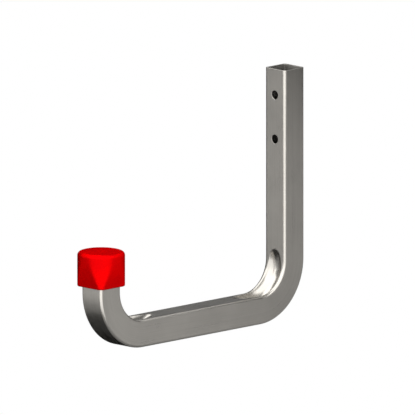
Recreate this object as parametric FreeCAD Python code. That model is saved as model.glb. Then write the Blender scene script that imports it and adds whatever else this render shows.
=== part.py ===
import FreeCAD, Part
import math
import os

from FreeCAD import Vector

# Garage utility hook: one length of square steel tube, bent twice into a J, with a plastic cap pushed
# over its free end. Millimetres. The origin is the middle of the two wall-screw holes on the face that
# lies against the wall: +Y points into the wall, +Z is up, and X runs across the tube.

# Square tube
TUBE_SIDE = 25.0
TUBE_WALL = 1.5
TUBE_CORNER_R = 2.5

# Run of the tube, measured over its outside
RIM_HEIGHT = 226.0  # open rim of the tall leg above the underside of the arm
REACH = 256.0  # wall face to the front of the short leg
TIP_HEIGHT = 87.5  # cut end of the short leg above the underside of the arm
BEND_R = 41.5  # both bends, on the centre line of the tube

# Screw holes through both walls of the tall leg
SCREW_HOLE_D = 8.0
SCREW_PITCH = 40.0
RIM_TO_SCREW = 23.5  # rim to the middle of the upper hole
CUTTER_OVERRUN = 5.0  # how far the hole cutters stand out of the tube at each end

# Scoop that the ribbed bending former presses into the inner wall of each bend. Seen from the side, its
# bottom is two arcs that meet at its lowest point: one round the bend and up the leg, and a flatter one
# along the arm.
SCOOP_DEPTH = 5.5  # of its lowest point, under the upper face of the arm
SCOOP_LOW_POINT = 4.0  # that point's distance from the middle of the bend, towards the leg
SCOOP_UP_LEG = 8.5  # where it runs out on the leg, past the end of the bend
SCOOP_ALONG_ARM = 22.7  # where it runs out on the arm, past the end of the bend
SCOOP_SHOULDER = 0.9  # flat strip left between the scoop and the rounded corner of the tube
SCOOP_LIP_R = 1.1  # rounding where the flat strip turns down into the scoop
RIB_LEG_TURN = 150.0  # degrees of the rib's arc that presses the leg and the bend
RIB_ARM_TURN = 40.0  # degrees of the rib's arc that presses the arm
RIB_SPREAD = 85.0  # degrees of the rib's round edge, to each side of its middle
UNDER_FLATS = 3  # flats that stand for the same round inside the bore

# Cap: round on top, with four flats that square it off towards its mouth
CAP_CLEARANCE = 0.1  # gap between the tube and the socket, on each side
CAP_WALL = 3.9  # plastic beside the middle of each flat, at the mouth
CAP_CORNER_WALL = 4.55  # plastic over each corner of the socket
CAP_SKIRT = 1.6  # upright band round the mouth
CAP_TAPER = 26.3  # height over which the flats lean out to the circle
CAP_BAND = 0.5  # full circle above the flats, below the rounded edge
CAP_EDGE_R = 3.6  # rounding of the top edge
CAP_EDGE_STROKES = 4  # strokes that make up that rounding
CAP_ROOF = 4.2  # plastic over the end of the tube

# Worked out from the sizes above
HALF_SIDE = TUBE_SIDE / 2
BORE_SIDE = TUBE_SIDE - 2 * TUBE_WALL
RIM_Z = RIM_TO_SCREW + SCREW_PITCH / 2
UNDERSIDE_Z = RIM_Z - RIM_HEIGHT
TIP_END_Z = UNDERSIDE_Z + TIP_HEIGHT
ARM_Z = UNDERSIDE_Z + HALF_SIDE
TALL_LEG_Y = -HALF_SIDE
SHORT_LEG_Y = -REACH + HALF_SIDE
BEND_Z = ARM_Z + BEND_R
TALL_BEND_Y = TALL_LEG_Y - BEND_R
SHORT_BEND_Y = SHORT_LEG_Y + BEND_R
INNER_BEND_R = BEND_R - HALF_SIDE
SCOOP_HALF_WIDTH = HALF_SIDE - TUBE_CORNER_R - SCOOP_SHOULDER
SCOOP_LOW_R = INNER_BEND_R + SCOOP_DEPTH
LEG_ARC_DOWN = (SCOOP_LOW_R**2 - (INNER_BEND_R - SCOOP_LOW_POINT) ** 2 - SCOOP_UP_LEG**2) / (
    2 * (SCOOP_LOW_R + SCOOP_UP_LEG)
)
ARM_ARC_DOWN = (SCOOP_LOW_R**2 - INNER_BEND_R**2 - (SCOOP_ALONG_ARM + SCOOP_LOW_POINT) ** 2) / (
    2 * SCOOP_DEPTH
)
SCOOP_DEEPEST = math.hypot(SCOOP_LOW_POINT, LEG_ARC_DOWN) + SCOOP_DEPTH - LEG_ARC_DOWN
SCOOP_PROFILE_R = (SCOOP_HALF_WIDTH**2 + SCOOP_DEEPEST**2) / (2 * SCOOP_DEEPEST)

SOCKET_SIDE = TUBE_SIDE + 2 * CAP_CLEARANCE
SOCKET_CORNER_R = TUBE_CORNER_R + CAP_CLEARANCE
SOCKET_CORNER_OUT = (SOCKET_SIDE / 2 - SOCKET_CORNER_R) * math.sqrt(2) + SOCKET_CORNER_R
CAP_SIDE = SOCKET_SIDE + 2 * CAP_WALL
CAP_ROUND_R = SOCKET_CORNER_OUT + CAP_CORNER_WALL
CAP_TOP_Z = TIP_END_Z + CAP_ROOF
CAP_ROUND_Z = CAP_TOP_Z - CAP_EDGE_R - CAP_BAND
CAP_SKIRT_Z = CAP_ROUND_Z - CAP_TAPER
CAP_MOUTH_Z = CAP_SKIRT_Z - CAP_SKIRT


def around(centre, radius, degrees):
    """Point on a circle that lies flat in X and Y, counted from the X axis."""
    angle = math.radians(degrees)
    return centre + Vector(radius * math.cos(angle), radius * math.sin(angle), 0)


def corner_centre(quarter, side, corner_r):
    """Middle of the rounded corner in the given quarter, for a square about the Z axis."""
    return around(Vector(0, 0, 0), (side / 2 - corner_r) * math.sqrt(2), 45 + 90 * quarter)


def quarter_arc(centre, radius, quarter):
    """A quarter circle from 90 x quarter degrees on."""
    start = 90 * quarter
    ends = [around(centre, radius, start + turn) for turn in (0, 45, 90)]
    return Part.Arc(*ends).toShape()


def rounded_square(side, corner_r, x, y, z):
    """Closed wire of a square with rounded corners, flat in X and Y about the given point."""
    place = Vector(x, y, z)
    arcs = [
        quarter_arc(corner_centre(quarter, side, corner_r) + place, corner_r, quarter)
        for quarter in range(4)
    ]
    edges = []
    for arc, following in zip(arcs, arcs[1:] + arcs[:1]):
        edges.append(arc)
        edges.append(Part.makeLine(arc.Vertexes[-1].Point, following.Vertexes[0].Point))
    return Part.Wire(edges)


def bend_arc(centre_y, first_degrees):
    """A quarter turn of the centre line in the YZ plane, from first_degrees on."""
    points = []
    for turn in (0, 45, 90):
        angle = math.radians(first_degrees - turn)
        points.append(
            Vector(0, centre_y + BEND_R * math.cos(angle), BEND_Z + BEND_R * math.sin(angle))
        )
    return Part.Arc(*points).toShape()


def centre_line():
    """Path of the tube: down the tall leg, out along the arm and up the short leg."""
    tall_bend = bend_arc(TALL_BEND_Y, 0)
    short_bend = bend_arc(SHORT_BEND_Y, -90)
    top = Vector(0, TALL_LEG_Y, RIM_Z)
    end = Vector(0, SHORT_LEG_Y, TIP_END_Z)
    return Part.Wire(
        [
            Part.makeLine(top, tall_bend.Vertexes[0].Point),
            tall_bend,
            Part.makeLine(tall_bend.Vertexes[-1].Point, short_bend.Vertexes[0].Point),
            short_bend,
            Part.makeLine(short_bend.Vertexes[-1].Point, end),
        ]
    )


def square(side, x, y, z):
    """Closed wire of a sharp-cornered square, flat in X and Y about the given point."""
    half = side / 2
    corners = [(-half, -half), (half, -half), (half, half), (-half, half), (-half, -half)]
    return Part.makePolygon([Vector(x + right, y + back, z) for right, back in corners])


def swept(section):
    """Solid bar of the given section, which lies at the open rim, along the whole centre line."""
    return centre_line().makePipeShell([section], True, False)


def rib_point(degrees, profile_r):
    """Point of the rib's section at its lowest place, from the level of the middle of the bend."""
    angle = math.radians(degrees)
    down = SCOOP_LOW_R - SCOOP_PROFILE_R + profile_r * math.cos(angle)
    return Vector(profile_r * math.sin(angle), 0, -down)


def round_outline():
    """Section of the rib itself: one arc."""
    turns = (-RIB_SPREAD, 0, RIB_SPREAD)
    return [Part.Arc(*[rib_point(turn, SCOOP_PROFILE_R) for turn in turns]).toShape()]


def under_outline():
    """Section with the tube's wall round it: flats that touch the arc one wall thickness outside."""
    step = 2 * RIB_SPREAD / UNDER_FLATS
    corner_r = (SCOOP_PROFILE_R + TUBE_WALL) / math.cos(math.radians(step / 2))
    points = [rib_point(-RIB_SPREAD + step * count, corner_r) for count in range(UNDER_FLATS + 1)]
    return [Part.makeLine(start, end) for start, end in zip(points, points[1:])]


def rib(low_point_y, leg_way, outline):
    """Rib of the bending former, whose section is outline's edges, closed by a straight one.

    leg_way is the Y direction from the middle of the bend to its leg, -1 or 1.
    """
    edges = outline()
    edges.append(Part.makeLine(edges[-1].Vertexes[-1].Point, edges[0].Vertexes[0].Point))
    section = Part.Face(Part.Wire(edges))
    section.translate(Vector(0, low_point_y, BEND_Z))
    leg_middle = Vector(0, low_point_y, BEND_Z - LEG_ARC_DOWN)
    arm_middle = Vector(0, low_point_y, BEND_Z - ARM_ARC_DOWN)
    leg_part = section.revolve(leg_middle, Vector(leg_way, 0, 0), RIB_LEG_TURN)
    arm_part = section.revolve(arm_middle, Vector(-leg_way, 0, 0), RIB_ARM_TURN)
    return [leg_part, arm_part]


def lips(shape, low_points_y):
    """Edges round both scoops: within the flat inner walls, and not across the bottom of a scoop."""
    limit = SCOOP_HALF_WIDTH + SCOOP_SHOULDER / 2
    inside = [edge for edge in shape.Edges if max(abs(edge.BoundBox.XMin), edge.BoundBox.XMax) < limit]
    return [
        edge
        for edge in inside
        if min(abs(edge.CenterOfMass.y - low_y) for low_y in low_points_y) > TUBE_WALL / 10
    ]


def screw_holes():
    """Cutters for the two screw holes, which pass both walls of the tall leg."""
    length = TUBE_SIDE + 2 * CUTTER_OVERRUN
    starts = [
        Vector(0, -TUBE_SIDE - CUTTER_OVERRUN, height) for height in (-SCREW_PITCH / 2, SCREW_PITCH / 2)
    ]
    return [
        Part.makeCylinder(SCREW_HOLE_D / 2, length, start, Vector(0, 1, 0)) for start in starts
    ]


def hook_tube():
    """The bent tube, its scoops pressed in with no less than the tube's own wall left under them."""
    outside = swept(rounded_square(TUBE_SIDE, TUBE_CORNER_R, 0, TALL_LEG_Y, RIM_Z))
    bore = swept(square(BORE_SIDE, 0, TALL_LEG_Y, RIM_Z))
    bends = ((TALL_BEND_Y + SCOOP_LOW_POINT, 1), (SHORT_BEND_Y - SCOOP_LOW_POINT, -1))
    for low_point_y, leg_way in bends:
        outside = outside.cut(rib(low_point_y, leg_way, round_outline))
        bore = bore.cut(rib(low_point_y, leg_way, under_outline))
    outside = outside.makeFillet(SCOOP_LIP_R, lips(outside, [low_point_y for low_point_y, _ in bends]))
    return outside.cut([bore] + screw_holes())


def flat_face(points):
    """Plane face through the given corners."""
    return Part.Face(Part.makePolygon(points + points[:1]))


def flats_profile():
    """Side view of the cap between two flats, which stand upright at the skirt and then lean out."""
    outline = [
        (CAP_SIDE / 2, CAP_MOUTH_Z),
        (CAP_SIDE / 2, CAP_SKIRT_Z),
        (CAP_ROUND_R, CAP_ROUND_Z),
        (CAP_ROUND_R, CAP_TOP_Z),
    ]
    left = [Vector(-out, -CAP_ROUND_R, height) for out, height in outline]
    right = [Vector(out, -CAP_ROUND_R, height) for out, height in reversed(outline)]
    return flat_face(left + right)


def turned_bar():
    """Round bar about the Z axis, whose rounded top edge is turned from short straight strokes."""
    edge_r = CAP_ROUND_R - CAP_EDGE_R
    points = [Vector(0, 0, CAP_MOUTH_Z), Vector(CAP_ROUND_R, 0, CAP_MOUTH_Z)]
    for count in range(CAP_EDGE_STROKES + 1):
        angle = math.pi / 2 * count / CAP_EDGE_STROKES
        rise = CAP_EDGE_R * math.sin(angle)
        points.append(
            Vector(edge_r + CAP_EDGE_R * math.cos(angle), 0, CAP_TOP_Z - CAP_EDGE_R + rise)
        )
    points.append(Vector(0, 0, CAP_TOP_Z))
    return flat_face(points).revolve(Vector(0, 0, 0), Vector(0, 0, 1), 360)


def end_cap():
    """Push-on cap: a round bar with four leaning flats, and a square socket up to the tube's end."""
    body = turned_bar()
    between_flats = flats_profile().extrude(Vector(0, 2 * CAP_ROUND_R, 0))
    for _ in range(2):
        body = body.common(between_flats)
        between_flats.rotate(Vector(0, 0, 0), Vector(0, 0, 1), 90)
    body.translate(Vector(0, SHORT_LEG_Y, 0))
    section = rounded_square(SOCKET_SIDE, SOCKET_CORNER_R, 0, SHORT_LEG_Y, CAP_MOUTH_Z)
    return body.cut(Part.Face(section).extrude(Vector(0, 0, TIP_END_Z - CAP_MOUTH_Z)))


def write(name, shape):
    """Check one piece and write it as a STEP file."""
    shape = shape.Solids[0] if len(shape.Solids) == 1 else shape
    print(name, shape.ShapeType, shape.isValid(), len(shape.Solids), round(shape.Volume, 1))
    shape.exportStep("parts/" + name + ".step")


os.makedirs("parts", exist_ok=True)
write("hook_tube", hook_tube())
write("end_cap", end_cap())
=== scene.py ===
"""Garage utility hook: a length of square steel tube bent into a J, with a red plastic cap on its tip.

Everything is in metres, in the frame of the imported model: +Y points into the wall, +Z is up, and the
origin is the middle of the two screw holes on the face that lies against the wall.
"""

import logging
import math
from dataclasses import dataclass, field
from enum import Enum
from typing import Any, Optional

import bmesh
import bpy
from mathutils import Matrix, Vector

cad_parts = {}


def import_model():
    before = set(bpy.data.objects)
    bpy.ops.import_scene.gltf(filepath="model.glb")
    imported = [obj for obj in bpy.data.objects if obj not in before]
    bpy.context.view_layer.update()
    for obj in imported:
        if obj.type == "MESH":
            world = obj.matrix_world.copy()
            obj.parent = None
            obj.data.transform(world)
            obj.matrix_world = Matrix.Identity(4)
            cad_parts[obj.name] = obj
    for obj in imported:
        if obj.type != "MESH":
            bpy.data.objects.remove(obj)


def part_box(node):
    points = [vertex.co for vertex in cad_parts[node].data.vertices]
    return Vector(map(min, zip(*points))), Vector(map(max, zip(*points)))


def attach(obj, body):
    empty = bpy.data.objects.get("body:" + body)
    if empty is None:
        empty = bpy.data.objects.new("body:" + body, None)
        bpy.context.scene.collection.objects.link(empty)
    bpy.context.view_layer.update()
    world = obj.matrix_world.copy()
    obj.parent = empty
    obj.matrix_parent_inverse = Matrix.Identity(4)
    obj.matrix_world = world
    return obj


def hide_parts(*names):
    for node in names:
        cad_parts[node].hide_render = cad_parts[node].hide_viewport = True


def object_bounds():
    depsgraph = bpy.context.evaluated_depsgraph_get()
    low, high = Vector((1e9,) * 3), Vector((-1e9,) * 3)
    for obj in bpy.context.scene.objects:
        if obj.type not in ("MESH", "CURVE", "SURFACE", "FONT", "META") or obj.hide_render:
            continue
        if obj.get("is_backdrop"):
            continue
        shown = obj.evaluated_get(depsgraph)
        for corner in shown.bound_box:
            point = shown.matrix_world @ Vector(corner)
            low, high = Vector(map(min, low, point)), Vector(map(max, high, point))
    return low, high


LOG = logging.getLogger("garage_hook")
MM = 0.001
NEAR = 0.1 * MM  # how far off a wall a vertex may lie and still belong to it
TOUCH = 0.01 * MM  # how far off a cut edge or an unpressed wall a point may lie
MERGE = 0.001 * MM  # vertices closer than this become one
ROOT = "root"
UNBENT = "unbent"  # the tube's attribute for its grain, as if it were straight
PRESSED = "pressed"  # the tube's attribute for its scoops

Colour = tuple[float, float, float, float]
Edges = list[bmesh.types.BMEdge]


class Slot(Enum):
    """Material slots of the record."""

    STEEL = "tube_steel"
    PLASTIC = "cap_plastic"


class Socket:
    """A shader socket that can be used in arithmetic."""

    def __init__(self, graph: "Graph", link: Any) -> None:
        """Wrap one output socket.

        Args:
            graph: The node graph that new Math nodes go into.
            link: The output socket of a node.
        """
        self.graph = graph
        self.link = link

    def _math(self, operation: str, first: Any, second: Any) -> "Socket":
        """Add a Math node on two values or sockets and return its result."""
        return self.graph.node("ShaderNodeMath", {"operation": operation}, {0: first, 1: second})

    def __add__(self, other: Any) -> "Socket":
        """Sum."""
        return self._math("ADD", self, other)

    def __radd__(self, other: Any) -> "Socket":
        """Sum with a number on the left."""
        return self._math("ADD", other, self)

    def __sub__(self, other: Any) -> "Socket":
        """Difference."""
        return self._math("SUBTRACT", self, other)

    def __rsub__(self, other: Any) -> "Socket":
        """Difference with a number on the left."""
        return self._math("SUBTRACT", other, self)

    def __mul__(self, other: Any) -> "Socket":
        """Product."""
        return self._math("MULTIPLY", self, other)

    def __rmul__(self, other: Any) -> "Socket":
        """Product with a number on the left."""
        return self._math("MULTIPLY", other, self)


class Graph:
    """A material's or the world's node graph, with one way to add any node."""

    def __init__(self, tree: bpy.types.NodeTree) -> None:
        """Start from an emptied tree.

        Args:
            tree: The node tree to build in.
        """
        self.tree = tree
        tree.nodes.clear()

    def node(
        self,
        kind: str,
        settings: Optional[dict[str, Any]] = None,
        inputs: Optional[dict[Any, Any]] = None,
        output: Any = 0,
    ) -> Optional[Socket]:
        """Add a node.

        Args:
            kind: The node's type, such as ShaderNodeTexNoise.
            settings: Properties set before the sockets.
            inputs: Values or sockets by input name or number.
            output: Name or number of the output that is returned.

        Returns:
            The chosen output socket, or nothing for a node that ends the graph.
        """
        made = self.tree.nodes.new(kind)
        for name, value in (settings or {}).items():
            setattr(made, name, value)
        for name, value in (inputs or {}).items():
            self.feed(made.inputs[name], value)
        return Socket(self, made.outputs[output]) if made.outputs else None

    def feed(self, target: bpy.types.NodeSocket, value: Any) -> None:
        """Link a socket, or set a number or colour, on an input."""
        if isinstance(value, Socket):
            self.tree.links.new(value.link, target)
        else:
            target.default_value = value

    def ramp(self, value: Socket, low: float, high: float) -> Socket:
        """Map a range of one value to the range from 0 to 1, and hold it inside."""
        return self.node(
            "ShaderNodeMapRange",
            {"clamp": True, "interpolation_type": "SMOOTHSTEP"},
            {"Value": value, "From Min": low, "From Max": high, "To Min": 0.0, "To Max": 1.0},
        )

    def mix(self, factor: Any, first: Any, second: Any) -> Socket:
        """Mix two colours."""
        return self.node(
            "ShaderNodeMix",
            {"data_type": "RGBA", "blend_type": "MIX"},
            {"Factor": factor, 6: first, 7: second},
            2,
        )


def grey(level: float) -> Colour:
    """Opaque grey."""
    return (level, level, level, 1.0)


@dataclass(frozen=True)
class DrawnSteel:
    """Bright zinc on drawn steel, with a faint grain that follows the tube round its bends."""

    name: str = "drawn_steel"
    colour: Colour = (0.280, 0.268, 0.247, 1.0)
    shade: Colour = (0.250, 0.239, 0.221, 1.0)
    roughness: float = 0.30
    roughness_spread: float = 0.06
    burnished: float = 0.04  # how much smoother the former leaves the scoops
    grain_across: float = 900.0  # noise cells in a metre
    grain_along: float = 9.0
    grain_share: float = 0.45  # in the tone, where the clouds are the rest
    cloud_scale: float = 28.0
    tone_range: tuple[float, float] = (0.35, 0.65)  # of the noise, from the shade to the colour
    bump_strength: float = 0.05
    bump_depth: float = 0.02 * MM

    def material(self) -> bpy.types.Material:
        """Build the node material.

        Returns:
            The material, which reads the tube's own two attributes.
        """
        made = bpy.data.materials.new(self.name)
        made.use_nodes = True
        graph = Graph(made.node_tree)
        unbent = graph.node("ShaderNodeAttribute", {"attribute_name": UNBENT}, output="Vector")
        stretched = graph.node(
            "ShaderNodeVectorMath",
            {"operation": "MULTIPLY"},
            {0: unbent, 1: (self.grain_across, self.grain_across, self.grain_along)},
        )
        grain = graph.node(
            "ShaderNodeTexNoise", {}, {"Vector": stretched, "Scale": 1.0, "Detail": 3.0, "Roughness": 0.6}
        )
        cloud = graph.node(
            "ShaderNodeTexNoise",
            {},
            {"Vector": unbent, "Scale": self.cloud_scale, "Detail": 4.0, "Roughness": 0.55},
        )
        tone = graph.ramp(grain * self.grain_share + cloud * (1 - self.grain_share), *self.tone_range)
        pressed = graph.node("ShaderNodeAttribute", {"attribute_name": PRESSED}, output="Fac")
        uneven = (grain - 0.5) * (2 * self.roughness_spread) + (cloud - 0.5) * self.roughness_spread
        roughness = self.roughness + uneven * (1 - pressed) - pressed * self.burnished
        bump = graph.node(
            "ShaderNodeBump",
            {},
            {"Strength": self.bump_strength, "Distance": self.bump_depth, "Height": grain * (1 - pressed)},
            "Normal",
        )
        surface = graph.node(
            "ShaderNodeBsdfPrincipled",
            {},
            {
                "Base Color": graph.mix(tone, self.shade, self.colour),
                "Metallic": 1.0,
                "Roughness": roughness,
                "Normal": bump,
            },
        )
        graph.node("ShaderNodeOutputMaterial", {}, {"Surface": surface})
        return made


# The inside of the tube: rougher than the outside, and painted darker in colour as shade inside the tube.
SHADED_BORE_STEEL = DrawnSteel(
    name="bore_steel_painted_shade",
    colour=(0.20, 0.192, 0.18, 1.0),
    shade=(0.17, 0.163, 0.15, 1.0),
    roughness=0.5,
)


@dataclass(frozen=True)
class MouldedPlastic:
    """Smooth red plastic with a satin moulded skin."""

    colour: Colour = (0.80, 0.001, 0.0015, 1.0)
    deep: Colour = (0.72, 0.001, 0.002, 1.0)
    roughness: float = 0.38
    roughness_spread: float = 0.06
    metallic: float = 0.16  # tints the plastic's gloss red, also where it is seen flat along
    tint: Colour = (1.0, 0.05, 0.04, 1.0)
    cloud_scale: float = 60.0
    tone_range: tuple[float, float] = (0.35, 0.65)  # of the noise, from the deep tone to the colour
    skin_scale: float = 2600.0
    bump_strength: float = 0.06
    bump_depth: float = 0.02 * MM

    def material(self) -> bpy.types.Material:
        """Build the node material.

        Returns:
            The material, which reads Object coordinates.
        """
        made = bpy.data.materials.new("moulded_red_plastic")
        made.use_nodes = True
        graph = Graph(made.node_tree)
        place = graph.node("ShaderNodeTexCoord", output="Object")
        cloud = graph.node(
            "ShaderNodeTexNoise", {}, {"Vector": place, "Scale": self.cloud_scale, "Detail": 3.0}
        )
        skin = graph.node(
            "ShaderNodeTexNoise", {}, {"Vector": place, "Scale": self.skin_scale, "Detail": 2.0}
        )
        bump = graph.node(
            "ShaderNodeBump",
            {},
            {"Strength": self.bump_strength, "Distance": self.bump_depth, "Height": skin},
            "Normal",
        )
        surface = graph.node(
            "ShaderNodeBsdfPrincipled",
            {},
            {
                "Base Color": graph.mix(graph.ramp(cloud, *self.tone_range), self.deep, self.colour),
                "Roughness": self.roughness + (cloud - 0.5) * (2 * self.roughness_spread),
                "Metallic": self.metallic,
                "Specular IOR Level": 0.0,
                "Specular Tint": self.tint,
                "Normal": bump,
            },
        )
        graph.node("ShaderNodeOutputMaterial", {}, {"Surface": surface})
        return made


def piece_from(bm: bmesh.types.BMesh, name: str, *materials: bpy.types.Material) -> bpy.types.Object:
    """Turn a bmesh into a smooth-shaded object at the origin.

    Args:
        bm: The finished mesh, which is freed here.
        name: Name of the piece.
        materials: Its finishes, by face index.

    Returns:
        The linked object.
    """
    bmesh.ops.recalc_face_normals(bm, faces=bm.faces)
    mesh = bpy.data.meshes.new(name)
    bm.to_mesh(mesh)
    bm.free()
    for material in materials:
        mesh.materials.append(material)
    made = bpy.data.objects.new(name, mesh)
    bpy.context.scene.collection.objects.link(made)
    mesh.shade_smooth()
    return made


def keep_flats(piece: bpy.types.Object, plain: list[int]) -> None:
    """Shade broad faces flat, and only the narrow ones between them round.

    Args:
        piece: The piece.
        plain: The numbers of its vertices that this is for.
    """
    group = piece.vertex_groups.new(name="plain")
    group.add(plain, 1.0, "REPLACE")
    normals = piece.modifiers.new("flat_shading", "WEIGHTED_NORMAL")
    normals.weight = 100  # a vertex takes the direction of its widest faces
    normals.vertex_group = group.name


def soft_max(value: float, blend: float) -> float:
    """The larger of value and 0, eased over blend to each side of 0."""
    if value >= blend:
        return value
    if value <= -blend:
        return 0.0
    return (value + blend) ** 2 / (4 * blend)


@dataclass(frozen=True)
class Arc:
    """A circle that the bottom of a scoop follows, seen from the side and measured from the bend's axis."""

    side: float
    down: float
    radius: float

    def side_at(self, down: float) -> float:
        """How far towards the leg the circle lies, at a distance downwards."""
        return self.side + math.sqrt(max(self.radius**2 - (down - self.down) ** 2, 0.0))

    def down_at(self, side: float) -> float:
        """How far down the circle lies, at a distance towards the leg."""
        return self.down + math.sqrt(max(self.radius**2 - (side - self.side) ** 2, 0.0))

    def radius_towards(self, side: float, down: float) -> float:
        """Distance of the circle from the bend's axis, in the direction of a point."""
        along = (side * self.side + down * self.down) / math.hypot(side, down)
        return along + math.sqrt(along**2 - self.side**2 - self.down**2 + self.radius**2)


@dataclass
class Bend:
    """One bend of the tube, with the scoop that the former's rib presses into its inner wall."""

    centre_y: float
    centre_z: float
    wallwards: float  # 1 where the bend's leg is on its +Y side, and -1 on its -Y side
    inner_r: float
    half_width: float = 9.1 * MM  # of the scoop, where it is deepest, without its lips
    depth: float = 5.5 * MM  # at the scoop's lowest point
    low_point: float = 4.0 * MM  # that point's distance from the axis, towards the leg
    up_leg: float = 8.5 * MM  # how far past the bend the scoop runs out on the leg
    along_arm: float = 22.7 * MM  # the same on the arm
    lip_r: float = 1.1 * MM
    run_out: float = 0.1 * MM  # blend where the scoop's bottom meets the wall

    def __post_init__(self) -> None:
        """Work out the two arcs of the scoop's bottom and the circle that is the rib's section."""
        low_r = self.inner_r + self.depth
        leg_down = low_r**2 - (self.inner_r - self.low_point) ** 2 - self.up_leg**2
        leg_down /= 2 * (low_r + self.up_leg)
        arm_down = low_r**2 - self.inner_r**2 - (self.along_arm + self.low_point) ** 2
        arm_down /= 2 * self.depth
        self.leg_arc = Arc(self.low_point, leg_down, low_r - leg_down)
        self.arm_arc = Arc(self.low_point, arm_down, low_r - arm_down)
        deepest = math.hypot(self.low_point, leg_down) + self.depth - leg_down
        self.profile_r = (self.half_width**2 + deepest**2) / (2 * deepest)

    def local(self, point: Vector) -> tuple[float, float]:
        """Distances from the bend's axis: towards its leg's side, and downwards."""
        return (point.y - self.centre_y) * self.wallwards, self.centre_z - point.z

    def placed(self, x: float, side: float, down: float) -> Vector:
        """The point at those distances from the bend's axis."""
        return Vector((x, self.centre_y + side * self.wallwards, self.centre_z - down))

    def past_bend(self, side: float, down: float) -> float:
        """How far the rib stands past the bent wall, in the direction of a point on it."""
        leg_r = self.leg_arc.radius_towards(side, down)
        if leg_r * side >= self.low_point * math.hypot(side, down):
            return leg_r - self.inner_r
        return self.arm_arc.radius_towards(side, down) - self.inner_r

    def scoop(self, x: float, past: float) -> float:
        """Depth of the scoop at x, where the rib's middle stands that far past the wall."""
        depth = soft_max(past, self.run_out)
        with_lip = self.profile_r + self.lip_r
        lip_x = math.sqrt(with_lip**2 - (with_lip - depth) ** 2)
        if abs(x) >= lip_x:
            return 0.0
        if abs(x) > lip_x * self.profile_r / with_lip:
            return self.lip_r - math.sqrt(self.lip_r**2 - (lip_x - abs(x)) ** 2)
        return depth - self.profile_r + math.sqrt(self.profile_r**2 - x**2)

    def press(self, vert: bmesh.types.BMVert, flat_half: float) -> None:
        """Push one vertex of the inner wall down to the scoop, if it lies on the flat of that wall.

        Args:
            vert: A vertex of the tube's outer skin.
            flat_half: Half the width of the flat part of the wall.
        """
        x = vert.co.x
        if abs(x) > flat_half:
            return
        side, down = self.local(vert.co)
        if side > 0 and down > 0:
            radius = math.hypot(side, down)
            if abs(radius - self.inner_r) < NEAR:
                grown = 1 + self.scoop(x, self.past_bend(side, down)) / radius
                vert.co = self.placed(x, side * grown, down * grown)
        elif down <= 0 and abs(side - self.inner_r) < NEAR:
            depth = self.scoop(x, self.leg_arc.side_at(down) - self.inner_r)
            vert.co = self.placed(x, side + depth, down)
        elif side <= 0 and abs(down - self.inner_r) < NEAR:
            depth = self.scoop(x, self.arm_arc.down_at(side) - self.inner_r)
            vert.co = self.placed(x, side, down + depth)


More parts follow.
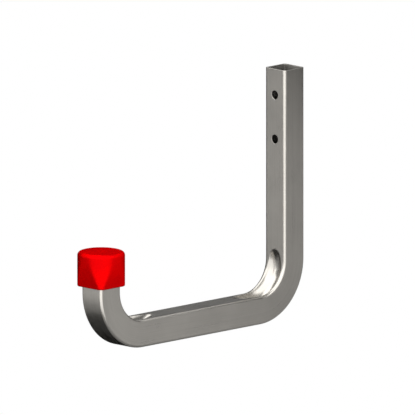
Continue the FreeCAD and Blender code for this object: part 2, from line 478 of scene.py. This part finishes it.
@dataclass
class HookTube:
    """The bent square tube, open at its upper end, with a screw hole pair through its tall leg."""

    low: Vector
    high: Vector
    tip_end: float  # Z of the cut end of the short leg, inside the cap
    corner_r: float = 2.5 * MM
    wall: float = 1.5 * MM
    bend_r: float = 41.5 * MM
    hole_r: float = 4.0 * MM
    hole_heights: tuple[float, float] = (-20.0 * MM, 20.0 * MM)
    edge_break: float = 0.2 * MM
    sharp_angle: float = 50.0  # degrees, past which a cut edge is broken
    burnish_depth: float = 1.2 * MM  # of a scoop, from where it is fully burnished
    scoop_reach: float = 24.0 * MM  # of the fine rows, past the ends of a bend
    fine_from: float = 6.0 * MM  # X past which the columns are narrower, for the scoops' lips
    leg_step: float = 6.0 * MM  # row height of the plain stretches
    corner_steps: int = 7
    side_columns: int = 4
    scoop_columns: int = 32
    lip_cuts: int = 2  # in each of the narrower columns
    scoop_rows: int = 30
    bend_steps: int = 60
    hole_sides: int = 48
    edge_steps: int = 2
    bends: list[Bend] = field(init=False)

    def __post_init__(self) -> None:
        """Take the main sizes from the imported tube's box."""
        self.side = self.high.x - self.low.x
        self.rim_z = self.high.z
        self.half = self.side / 2
        self.inner_r = self.bend_r - self.half
        self.bend_z = self.low.z + self.half + self.bend_r
        self.tall_y = -self.half
        self.short_y = self.low.y + self.half
        tall = Bend(self.tall_y - self.bend_r, self.bend_z, 1.0, self.inner_r)
        short = Bend(self.short_y + self.bend_r, self.bend_z, -1.0, self.inner_r)
        self.bends = [tall, short]

    def section(self, bm: bmesh.types.BMesh) -> Edges:
        """Draw the rounded square at the rim, with narrow columns on its inner wall for the scoops.

        Args:
            bm: The mesh to draw in.

        Returns:
            The edges of the closed outline.
        """
        place = Matrix.Translation((0, self.tall_y, self.rim_z))
        bmesh.ops.create_grid(bm, x_segments=1, y_segments=1, size=self.half, matrix=place)
        bmesh.ops.bevel(
            bm,
            geom=list(bm.verts),
            offset=self.corner_r,
            offset_type="OFFSET",
            segments=self.corner_steps,
            profile=0.5,
            affect="VERTICES",
            material=-1,
        )
        bmesh.ops.delete(bm, geom=list(bm.faces), context="FACES_ONLY")
        flats = [edge for edge in bm.edges if edge.calc_length() > self.half]
        inner = [edge for edge in flats if all(abs(v.co.y + self.side) < NEAR for v in edge.verts)]
        others = [edge for edge in flats if edge not in inner]
        bmesh.ops.subdivide_edges(bm, edges=others, cuts=self.side_columns - 1)
        bmesh.ops.subdivide_edges(bm, edges=inner, cuts=self.scoop_columns - 1)
        limit = self.half - self.corner_r + NEAR
        lips = [
            edge
            for edge in bm.edges
            if all(
                abs(v.co.y + self.side) < NEAR and self.fine_from < abs(v.co.x) < limit
                for v in edge.verts
            )
        ]
        bmesh.ops.subdivide_edges(bm, edges=lips, cuts=self.lip_cuts)
        return list(bm.edges)

    def run(self, bm: bmesh.types.BMesh, edges: Edges, step: Vector, count: int) -> Edges:
        """Carry an outline along a straight stretch.

        Args:
            bm: The mesh.
            edges: The outline that ends the tube so far.
            step: Move of each row.
            count: Number of rows.

        Returns:
            The edges of the new end.
        """
        for _ in range(count):
            made = bmesh.ops.extrude_edge_only(bm, edges=edges)["geom"]
            verts = [item for item in made if isinstance(item, bmesh.types.BMVert)]
            edges = [
                item
                for item in made
                if isinstance(item, bmesh.types.BMEdge) and all(v in verts for v in item.verts)
            ]
            bmesh.ops.translate(bm, verts=verts, vec=step)
        return edges

    def turn(self, bm: bmesh.types.BMesh, edges: Edges, bend: Bend, angle: float) -> Edges:
        """Carry an outline round a bend.

        Args:
            bm: The mesh.
            edges: The outline that ends the tube so far.
            bend: The bend.
            angle: Turn about the X axis, in radians.

        Returns:
            The edges of the new end.
        """
        made = bmesh.ops.spin(
            bm,
            geom=edges,
            cent=(0, bend.centre_y, bend.centre_z),
            axis=(1, 0, 0),
            dvec=(0, 0, 0),
            angle=angle,
            steps=self.bend_steps,
            use_merge=False,
            use_duplicate=False,
        )
        return [item for item in made["geom_last"] if isinstance(item, bmesh.types.BMEdge)]

    def straight(
        self, bm: bmesh.types.BMesh, edges: Edges, way: Vector, parts: list[tuple[float, int]]
    ) -> Edges:
        """Carry an outline along stretches with their own numbers of rows.

        Args:
            bm: The mesh.
            edges: The outline that ends the tube so far.
            way: Direction of the run.
            parts: Pairs of length and number of rows.

        Returns:
            The edges of the new end.
        """
        for length, count in parts:
            edges = self.run(bm, edges, way * (length / count), count)
        return edges

    def skin(self) -> bmesh.types.BMesh:
        """Sweep the outline along the whole tube.

        Returns:
            The outer skin, open at both ends.
        """
        bm = bmesh.new()
        edges = self.section(bm)
        down, out, up = Vector((0, 0, -1)), Vector((0, -1, 0)), Vector((0, 0, 1))
        tall = self.rim_z - self.bend_z - self.scoop_reach
        arm = self.bends[0].centre_y - self.bends[1].centre_y - 2 * self.scoop_reach
        tip = self.tip_end - self.bend_z - self.scoop_reach
        fine = (self.scoop_reach, self.scoop_rows)
        edges = self.straight(bm, edges, down, [(tall, round(tall / self.leg_step)), fine])
        edges = self.turn(bm, edges, self.bends[0], -math.pi / 2)
        edges = self.straight(bm, edges, out, [fine, (arm, round(arm / self.leg_step)), fine])
        edges = self.turn(bm, edges, self.bends[1], -math.pi / 2)
        self.straight(bm, edges, up, [fine, (tip, round(tip / self.leg_step))])
        return bm

    def hole_cutter(self) -> bpy.types.Object:
        """Make the bars that cut the screw holes through both walls of the tall leg."""
        bm = bmesh.new()
        for height in self.hole_heights:
            place = Matrix.Translation((0, self.tall_y, height)) @ Matrix.Rotation(math.pi / 2, 4, "X")
            bmesh.ops.create_cone(
                bm,
                cap_ends=True,
                segments=self.hole_sides,
                radius1=self.hole_r,
                radius2=self.hole_r,
                depth=2 * self.side,
                matrix=place,
            )
        mesh = bpy.data.meshes.new("hole_cutter")
        bm.to_mesh(mesh)
        bm.free()
        cutter = bpy.data.objects.new("hole_cutter", mesh)
        bpy.context.scene.collection.objects.link(cutter)
        return cutter

    def unbent(self, point: Vector) -> tuple[float, float, float]:
        """Where a point would lie if the tube were straight: across, through and along it."""
        tall, short = self.bends
        quarter = math.pi / 2 * self.bend_r
        leg = self.rim_z - self.bend_z
        arm = tall.centre_y - short.centre_y
        if point.y > tall.centre_y:
            side, down = tall.local(point)
            if down <= 0:
                return point.x, side, leg + down
            return point.x, math.hypot(side, down), leg + self.bend_r * math.atan2(down, side)
        if point.y >= short.centre_y:
            return point.x, tall.local(point)[1], leg + quarter + tall.centre_y - point.y
        side, down = short.local(point)
        if down <= 0:
            return point.x, side, leg + 2 * quarter + arm - down
        turned = self.bend_r * math.atan2(side, down)
        return point.x, math.hypot(side, down), leg + quarter + arm + turned

    def pressed(self, point: Vector) -> float:
        """How far a point belongs to a scoop, from 0 to 1."""
        across, through, _ = self.unbent(point)
        depth = through - self.inner_r
        if abs(across) > self.half - self.corner_r or depth > self.half or depth < TOUCH:
            return 0.0
        return min(depth / self.burnish_depth, 1.0)

    def build(self, steel: bpy.types.Material, bore: bpy.types.Material) -> bpy.types.Object:
        """Make the tube.

        Args:
            steel: The finish of the outside.
            bore: The finish of the inside, its colour painted darker as shade.

        Returns:
            The finished piece.
        """
        bm = self.skin()
        for bend in self.bends:
            for vert in bm.verts:
                bend.press(vert, self.half - self.corner_r)
        bm = self.thicken(bm, steel, bore)
        self.break_edges(bm)
        made = piece_from(bm, "hook_tube_skin", steel, bore)
        along = made.data.attributes.new(UNBENT, "FLOAT_VECTOR", "POINT")
        for item, vert in zip(along.data, made.data.vertices):
            item.vector = self.unbent(vert.co)
        levels = [self.pressed(vert.co) for vert in made.data.vertices]
        made.data.attributes.new(PRESSED, "FLOAT", "POINT").data.foreach_set("value", levels)
        keep_flats(made, [number for number, level in enumerate(levels) if level == 0.0])
        return made

    def thicken(self, bm: bmesh.types.BMesh, *materials: bpy.types.Material) -> bmesh.types.BMesh:
        """Give the skin its wall, inwards, and cut the screw holes.

        Args:
            bm: The outer skin, which is freed here.
            materials: The finishes of the outside and the inside, the inside's colour painted darker as
                shade.

        Returns:
            The closed wall.
        """
        bmesh.ops.recalc_face_normals(bm, faces=bm.faces)
        mesh = bpy.data.meshes.new("skin")
        bm.to_mesh(mesh)
        bm.free()
        for material in materials:
            mesh.materials.append(material)
        shell = bpy.data.objects.new("skin", mesh)
        bpy.context.scene.collection.objects.link(shell)
        wall = shell.modifiers.new("wall", "SOLIDIFY")
        wall.thickness = self.wall
        wall.offset = -1
        wall.use_even_offset = True
        wall.material_offset = 1
        cutter = self.hole_cutter()
        holes = shell.modifiers.new("holes", "BOOLEAN")
        holes.operation = "DIFFERENCE"
        holes.solver = "EXACT"
        holes.object = cutter
        solid = bpy.data.meshes.new_from_object(shell.evaluated_get(bpy.context.evaluated_depsgraph_get()))
        made = bmesh.new()
        made.from_mesh(solid)
        for spent in (shell, cutter):
            bpy.data.meshes.remove(spent.data)
        bpy.data.meshes.remove(solid)
        return made

    def break_edges(self, bm: bmesh.types.BMesh) -> None:
        """Round the sharp edges of the rim and the holes a little, as deburring does."""
        sharp = [
            edge
            for edge in bm.edges
            if edge.calc_face_angle(0) > math.radians(self.sharp_angle)
            and all(self.is_cut(v.co) for v in edge.verts)
        ]
        bmesh.ops.bevel(
            bm,
            geom=sharp,
            offset=self.edge_break,
            offset_type="OFFSET",
            segments=self.edge_steps,
            profile=0.5,
            affect="EDGES",
            clamp_overlap=False,
            material=-1,
        )

    def is_cut(self, point: Vector) -> bool:
        """Whether a point lies on the rim or on the wall of a screw hole."""
        off_hole = min(abs(math.hypot(point.x, point.z - z) - self.hole_r) for z in self.hole_heights)
        return abs(point.z - self.rim_z) < TOUCH or off_hole < TOUCH


@dataclass
class EndCap:
    """The push-on cap: round on top, with four flats that square it off towards its mouth."""

    low: Vector
    high: Vector
    mouth_half: float = 16.5 * MM
    skirt: float = 1.6 * MM
    flats_drop: float = 4.1 * MM  # upper ends of the flats, under the top
    edge_r: float = 3.6 * MM
    crown: float = 0.3 * MM  # fall of the top from its middle to its rounded edge
    mouth_r: float = 1.4 * MM
    roof: float = 4.2 * MM
    socket_half: float = 12.6 * MM
    socket_corner_r: float = 2.6 * MM
    flats_bulge: float = 0.5  # how much steeper than a plane the flats start
    crease: float = 0.35 * MM  # rounding between the skirt and the flats
    flat_edge: float = 0.9 * MM  # rounding between the flats and the round body
    rows: int = 30
    turns: int = 160
    edge_steps: int = 10
    top_rings: int = 8
    mouth_steps: int = 4

    def __post_init__(self) -> None:
        """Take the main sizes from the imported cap's box."""
        self.round_r = (self.high.x - self.low.x) / 2
        self.centre_y = (self.high.y + self.low.y) / 2
        self.round_z = self.high.z - self.flats_drop
        self.skirt_z = self.low.z + self.skirt

    def half_at(self, height: float) -> float:
        """Distance of the flats from the middle at a height."""
        share = (height - self.skirt_z) / (self.round_z - self.skirt_z)
        share *= 1 + self.flats_bulge * (1 - share)
        lean = soft_max(share * (self.round_r - self.mouth_half), self.crease)
        return self.mouth_half + lean

    def outer_r(self, angle: float, height: float) -> float:
        """Radius of the cap's outside, at an angle from a flat's middle and at a height."""
        flat = self.half_at(height) / math.cos(angle)
        return self.round_r - soft_max(self.round_r - flat, self.flat_edge)

    def socket_r(self, angle: float) -> float:
        """Radius of the rounded-square socket, at an angle from a flat's middle."""
        straight = self.socket_half - self.socket_corner_r
        angle = abs(angle)
        if self.socket_half * math.tan(angle) <= straight:
            return self.socket_half / math.cos(angle)
        along = straight * (math.cos(angle) + math.sin(angle))
        return along + math.sqrt(along**2 - 2 * straight**2 + self.socket_corner_r**2)

    def profile(self, bm: bmesh.types.BMesh) -> Edges:
        """Draw half of the cap's section: ceiling, socket wall, mouth, outside and top.

        Args:
            bm: The mesh to draw in.

        Returns:
            The edges of the line, from axis to axis.
        """
        ceiling = self.high.z - self.roof
        side_low, side_high = self.low.z + self.mouth_r, self.high.z - self.edge_r
        rise = (side_high - side_low) / self.rows
        line = [(0.0, ceiling), (self.socket_half, ceiling), (self.socket_half, self.low.z)]
        for step in range(self.mouth_steps):
            angle = math.pi / 2 * step / self.mouth_steps
            out = self.round_r - self.mouth_r * (1 - math.sin(angle))
            line.append((out, side_low - self.mouth_r * math.cos(angle)))
        line += [(self.round_r, side_low + rise * row) for row in range(self.rows)]
        flat_r, edge_z = self.round_r - self.edge_r, side_high - self.crown
        for step in range(self.edge_steps):
            angle = math.pi / 2 * step / self.edge_steps
            line.append((flat_r + self.edge_r * math.cos(angle), edge_z + self.edge_r * math.sin(angle)))
        for ring in range(self.top_rings + 1):
            share = 1 - ring / self.top_rings
            line.append((flat_r * share, self.high.z - self.crown * share**2))
        verts = [bm.verts.new((out, 0, height)) for out, height in line]
        return [bm.edges.new(pair) for pair in zip(verts, verts[1:])]

    def reshape(self, vert: bmesh.types.BMVert) -> None:
        """Move one vertex of the turned body to the flats or to the socket's square."""
        radius = math.hypot(vert.co.x, vert.co.y)
        if radius < NEAR:
            return
        turned = math.atan2(vert.co.y, vert.co.x)
        angle = turned - round(turned / (math.pi / 2)) * (math.pi / 2)
        ceiling = self.high.z - self.roof
        if radius <= self.socket_half + NEAR and vert.co.z <= ceiling + NEAR:
            grown = self.socket_r(angle) / self.socket_half
        else:
            grown = self.outer_r(angle, vert.co.z) / self.round_r
        vert.co.x *= grown
        vert.co.y *= grown

    def build(self, material: bpy.types.Material) -> bpy.types.Object:
        """Make the cap.

        Args:
            material: The plastic.

        Returns:
            The finished piece.
        """
        bm = bmesh.new()
        edges = self.profile(bm)
        bmesh.ops.spin(
            bm,
            geom=edges + list(bm.verts),
            cent=(0, 0, 0),
            axis=(0, 0, 1),
            dvec=(0, 0, 0),
            angle=2 * math.pi,
            steps=self.turns,
            use_merge=True,
            use_duplicate=False,
        )
        bmesh.ops.remove_doubles(bm, verts=bm.verts, dist=MERGE)
        for vert in bm.verts:
            self.reshape(vert)
        bmesh.ops.translate(bm, verts=bm.verts, vec=(0, self.centre_y, 0))
        return piece_from(bm, "end_cap_moulding", material)


@dataclass(frozen=True)
class Softbox:
    """A rectangular lamp that looks at the hook."""

    name: str
    azimuth: float  # degrees; 0 stands on the -Y side and 90 on the +X side
    elevation: float
    distance: float
    width: float
    height: float
    radiance: float

    def build(self, aim: Vector) -> None:
        """Place the lamp.

        Args:
            aim: The point that it faces.
        """
        data = bpy.data.lights.new(self.name, "AREA")
        data.shape = "RECTANGLE"
        data.size = self.width
        data.size_y = self.height
        data.energy = self.radiance * math.pi * self.width * self.height
        lamp = bpy.data.objects.new(self.name, data)
        bpy.context.scene.collection.objects.link(lamp)
        back = outward(self.azimuth, self.elevation)
        lamp.location = aim + back * self.distance
        lamp.rotation_mode = "QUATERNION"
        lamp.rotation_quaternion = (-back).to_track_quat("-Z", "Y")
        lamp.visible_glossy = False


@dataclass(frozen=True)
class ReflectionCard:
    """A plain curved card that shows only in the hook's gloss, as a photographer shades bare metal."""

    name: str
    azimuths: tuple[float, float]  # degrees, counted as a lamp's
    elevations: tuple[float, float]
    radiance: float
    distance: float = 1.3
    steps: int = 12

    def build(self, aim: Vector) -> None:
        """Place the card.

        Args:
            aim: The point that it faces.
        """
        bm = bmesh.new()
        low, high = self.elevations
        rise = (high - low) / self.steps
        line = [
            bm.verts.new(aim + outward(self.azimuths[0], low + rise * count) * self.distance)
            for count in range(self.steps + 1)
        ]
        edges = [bm.edges.new(pair) for pair in zip(line, line[1:])]
        bmesh.ops.spin(
            bm,
            geom=edges,
            cent=aim,
            axis=(0, 0, 1),
            dvec=(0, 0, 0),
            angle=math.radians(self.azimuths[1] - self.azimuths[0]),
            steps=self.steps,
            use_merge=False,
            use_duplicate=False,
        )
        material = bpy.data.materials.new(self.name)
        material.use_nodes = True
        material.cycles.emission_sampling = "NONE"
        graph = Graph(material.node_tree)
        glow = graph.node("ShaderNodeEmission", {}, {"Color": grey(1.0), "Strength": self.radiance})
        graph.node("ShaderNodeOutputMaterial", {}, {"Surface": glow})
        card = piece_from(bm, self.name, material)
        card.visible_camera = False
        card.visible_diffuse = False
        card.visible_transmission = False
        card.visible_shadow = False
        card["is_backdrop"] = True


def outward(azimuth: float, elevation: float) -> Vector:
    """Unit vector from the hook towards something that stands at those degrees."""
    turn, rise = math.radians(azimuth), math.radians(elevation)
    return Vector((math.sin(turn) * math.cos(rise), -math.cos(turn) * math.cos(rise), math.sin(rise)))


@dataclass(frozen=True)
class Studio:
    """White surroundings, a pale floor, a soft lamp, the reflection cards and the camera."""

    view_azimuth: float = 45.0
    view_elevation: float = 11.15
    frame_width: float = 369.2 * MM
    shift_right: float = -77.569 * MM  # middle of the picture, from the rim's middle
    shift_up: float = -126.608 * MM
    camera_distance: float = 2.0
    floor_drop: float = 0.9  # under the hook's lowest point
    floor_size: float = 12.0
    floor_grey: float = 0.8
    ambient: float = 0.03
    key: Softbox = Softbox(
        "key_softbox", azimuth=51.0, elevation=36.0, distance=1.6, width=0.8, height=0.8, radiance=13.4
    )
    cards: tuple[ReflectionCard, ...] = (
        # Light lines down the near corners
        ReflectionCard("key_card", (-12.0, 88.0), (-35.0, 0.0), 3.4),
        ReflectionCard("key_middle_card", (-12.0, 88.0), (0.0, 24.0), 4.4),
        ReflectionCard("key_high_card", (-12.0, 100.0), (24.0, 46.0), 4.4),
        ReflectionCard("top_card", (-12.0, 110.0), (46.0, 90.0), 4.0),
        # White of the scoops, and the dark crescent beside it
        ReflectionCard("scoop_card", (-60.0, -12.0), (17.0, 90.0), 4.6),
        ReflectionCard("scoop_low_card", (-35.0, -12.0), (-2.0, 17.0), 4.5),
        ReflectionCard("scoop_far_card", (-129.0, -60.0), (41.0, 90.0), 4.6),
        ReflectionCard("scoop_end_card", (100.0, 136.0), (27.0, 80.0), 4.4, distance=1.29),
        ReflectionCard("crescent_card", (-100.0, -60.0), (-20.0, 41.0), 0.0, distance=1.32),
        # Upper edge and upper face of the arm
        ReflectionCard("edge_card", (137.0, 205.0), (28.0, 50.0), 2.1),
        ReflectionCard("far_card", (-180.0, -100.0), (-20.0, 41.0), 0.24, distance=1.34),
        ReflectionCard("far_top_card", (-223.0, -129.0), (41.0, 88.0), 0.24, distance=1.34),
        # Front of the short bend, darker towards its foot, and the underside
        ReflectionCard("front_card", (-88.0, -20.0), (-36.0, -24.0), 0.5, distance=0.55),
        ReflectionCard("front_low_card", (-88.0, -20.0), (-90.0, -36.0), 0.05, distance=0.55),
        ReflectionCard("under_card", (-150.0, -88.0), (-90.0, -22.0), 0.0, distance=0.55),
        ReflectionCard("ground_card", (-20.0, 210.0), (-90.0, -38.0), 0.5, distance=0.55),
        # Faces of the tall leg, darker towards its rim
        ReflectionCard("inner_top_card", (-62.0, -28.0), (1.0, 14.0), 0.55, distance=0.5),
        ReflectionCard("wall_side_card", (137.0, 170.0), (-45.0, 8.0), 0.72, distance=0.5),
        ReflectionCard("wall_side_top_card", (137.0, 175.0), (0.0, 35.0), 0.15, distance=0.49),
    )

    def background(self) -> None:
        """White for the camera and for reflections, and a plain grey light on everything else."""
        world = bpy.data.worlds.new("studio_white")
        bpy.context.scene.world = world
        world.use_nodes = True
        world.cycles.sampling_method = "NONE"
        graph = Graph(world.node_tree)
        seen = self.seen(graph)
        light = graph.node("ShaderNodeBackground", {}, {"Color": grey(1.0), "Strength": self.ambient})
        white = graph.node("ShaderNodeBackground", {}, {"Color": grey(1.0), "Strength": 1.0})
        both = graph.node("ShaderNodeMixShader", {}, {0: seen, 1: light, 2: white})
        graph.node("ShaderNodeOutputWorld", {}, {"Surface": both})

    @staticmethod
    def seen(graph: Graph) -> Socket:
        """1 for rays that show the surroundings, by sight, by gloss or through glass."""
        camera = graph.node("ShaderNodeLightPath", output="Is Camera Ray")
        glossy = graph.node("ShaderNodeLightPath", output="Is Glossy Ray")
        through = graph.node("ShaderNodeLightPath", output="Is Transmission Ray")
        return graph.node(
            "ShaderNodeMath",
            {"operation": "ADD", "use_clamp": True},
            {0: camera, 1: glossy + through},
        )

    def floor(self, low: Vector) -> None:
        """Lay the floor.

        Args:
            low: Lowest corner of the object.
        """
        bm = bmesh.new()
        place = Matrix.Translation((0, 0, low.z - self.floor_drop))
        bmesh.ops.create_grid(bm, x_segments=1, y_segments=1, size=self.floor_size / 2, matrix=place)
        material = bpy.data.materials.new("floor_paper")
        material.use_nodes = True
        material.cycles.emission_sampling = "NONE"
        graph = Graph(material.node_tree)
        paper = graph.node("ShaderNodeBsdfDiffuse", {}, {"Color": grey(self.floor_grey)})
        white = graph.node("ShaderNodeEmission", {}, {"Color": grey(1.0), "Strength": 1.0})
        both = graph.node("ShaderNodeMixShader", {}, {0: self.seen(graph), 1: paper, 2: white})
        graph.node("ShaderNodeOutputMaterial", {}, {"Surface": both})
        piece_from(bm, "studio_floor", material)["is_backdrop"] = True

    def camera(self, rim_middle: Vector) -> None:
        """Place the parallel-view camera.

        Args:
            rim_middle: Point of the object that the picture's middle is measured from.
        """
        data = bpy.data.cameras.new("camera")
        data.type = "ORTHO"
        data.ortho_scale = self.frame_width
        made = bpy.data.objects.new("camera", data)
        bpy.context.scene.collection.objects.link(made)
        bpy.context.scene.camera = made
        back = outward(self.view_azimuth, self.view_elevation)
        turned = (-back).to_track_quat("-Z", "Y")
        right, up = turned @ Vector((1, 0, 0)), turned @ Vector((0, 1, 0))
        made.rotation_mode = "QUATERNION"
        made.rotation_quaternion = turned
        middle = rim_middle + right * self.shift_right + up * self.shift_up
        made.location = middle + back * self.camera_distance

    def build(self, low: Vector, high: Vector) -> None:
        """Set up the studio round the hook, all but its camera.

        Args:
            low: Lowest corner of the object.
            high: Highest corner of the object.
        """
        bpy.context.scene.view_settings.view_transform = "Standard"
        self.background()
        self.floor(low)
        aim = (low + high) / 2
        for item in (self.key, *self.cards):
            item.build(aim)


def hand_over(piece: bpy.types.Object, node: str) -> None:
    """Tie a finished piece to the frame and report it.

    Args:
        piece: The finished object.
        node: The CAD node that it stands for.
    """
    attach(piece, ROOT)
    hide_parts(node)
    LOG.info("%s: %d vertices, %d faces", piece.name, len(piece.data.vertices), len(piece.data.polygons))


def main() -> None:
    """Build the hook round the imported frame, and the studio round the hook."""
    logging.basicConfig(level=logging.INFO, format="%(message)s")
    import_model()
    cad_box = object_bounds()
    studio = Studio()
    tube_low, tube_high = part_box("hook_tube")
    cap_low, cap_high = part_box("end_cap")
    studio.camera(Vector((0, 0, tube_high.z)))
    cap = EndCap(cap_low, cap_high)
    tube = HookTube(tube_low, tube_high, cap_high.z - cap.roof)
    tube_piece = tube.build(DrawnSteel().material(), SHADED_BORE_STEEL.material())
    cap_piece = cap.build(MouldedPlastic().material())
    hand_over(tube_piece, "hook_tube")
    hand_over(cap_piece, "end_cap")
    studio.build(*cad_box)


if __name__ == "__main__":
    main()
